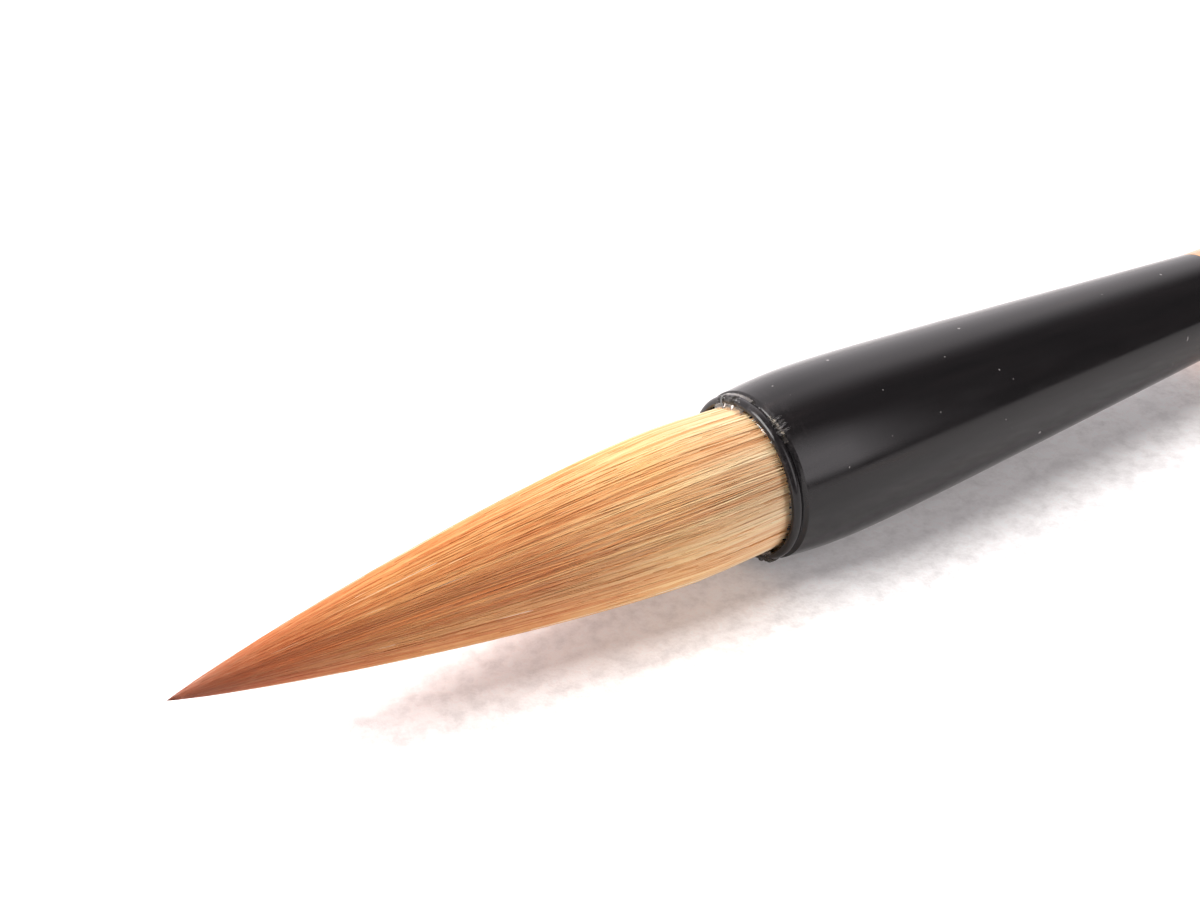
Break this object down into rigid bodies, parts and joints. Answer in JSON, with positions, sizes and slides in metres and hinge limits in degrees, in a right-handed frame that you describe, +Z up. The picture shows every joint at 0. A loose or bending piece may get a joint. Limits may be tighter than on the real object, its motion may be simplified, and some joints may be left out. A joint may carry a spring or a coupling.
{
  "type": "calligraphy brush",
  "caption": "Round writing brush: a pointed tuft of hair set in a turned horn ferrule, on a straight bamboo shaft with a rounded horn end cap.",
  "frame": {"origin": "under the middle of the brush's length, on the surface that the widest part of the ferrule touches", "axes": "+X along the brush from the hair tip to the finial, +Z up; the brush is round about its long axis"},
  "size_m": [0.26, 0.0106, 0.0107],
  "materials": {
    "horn": "polished black horn",
    "bamboo": "varnished honey bamboo",
    "glue": "clear hardened glue",
    "rosin": "melted amber rosin",
    "thread": "waxed silk thread",
    "inner_hair": "stiff brown hair",
    "outer_hair": "smooth hair, straw at the root and red-brown at the point"
  },
  "bodies": {
    "handle": {"ferrule": "horn", "shaft": "bamboo", "tenon_glue": "glue", "finial": "horn", "finial_glue": "glue", "setting_glue": "glue", "root_seal": "rosin", "root_binding": "thread", "padding_hair": "inner_hair", "core_hair_root": "inner_hair", "mantle_hair_root": "outer_hair"},
    "tuft_belly": {"core_hair_belly": "inner_hair", "mantle_hair_belly": "outer_hair"},
    "tuft_tip": {"core_hair_tip": "inner_hair", "mantle_hair_tip": "outer_hair"}
  },
  "joints": [
    {"name": "belly_bend", "type": "hinge", "parent": "handle", "child": "tuft_belly", "pos_m": [-0.1045, 0, 0.00535], "axis": [0, 0, 1], "range_deg": [-35, 35], "stiffness_Nm_per_rad": 0.009, "deforming": ["core_hair_root", "mantle_hair_root", "core_hair_belly", "mantle_hair_belly"]},
    {"name": "tip_bend", "type": "hinge", "parent": "tuft_belly", "child": "tuft_tip", "pos_m": [-0.1165, 0, 0.00535], "axis": [0, 0, 1], "range_deg": [-45, 45], "stiffness_Nm_per_rad": 0.0015, "deforming": ["core_hair_belly", "mantle_hair_belly", "core_hair_tip", "mantle_hair_tip"]}
  ]
}
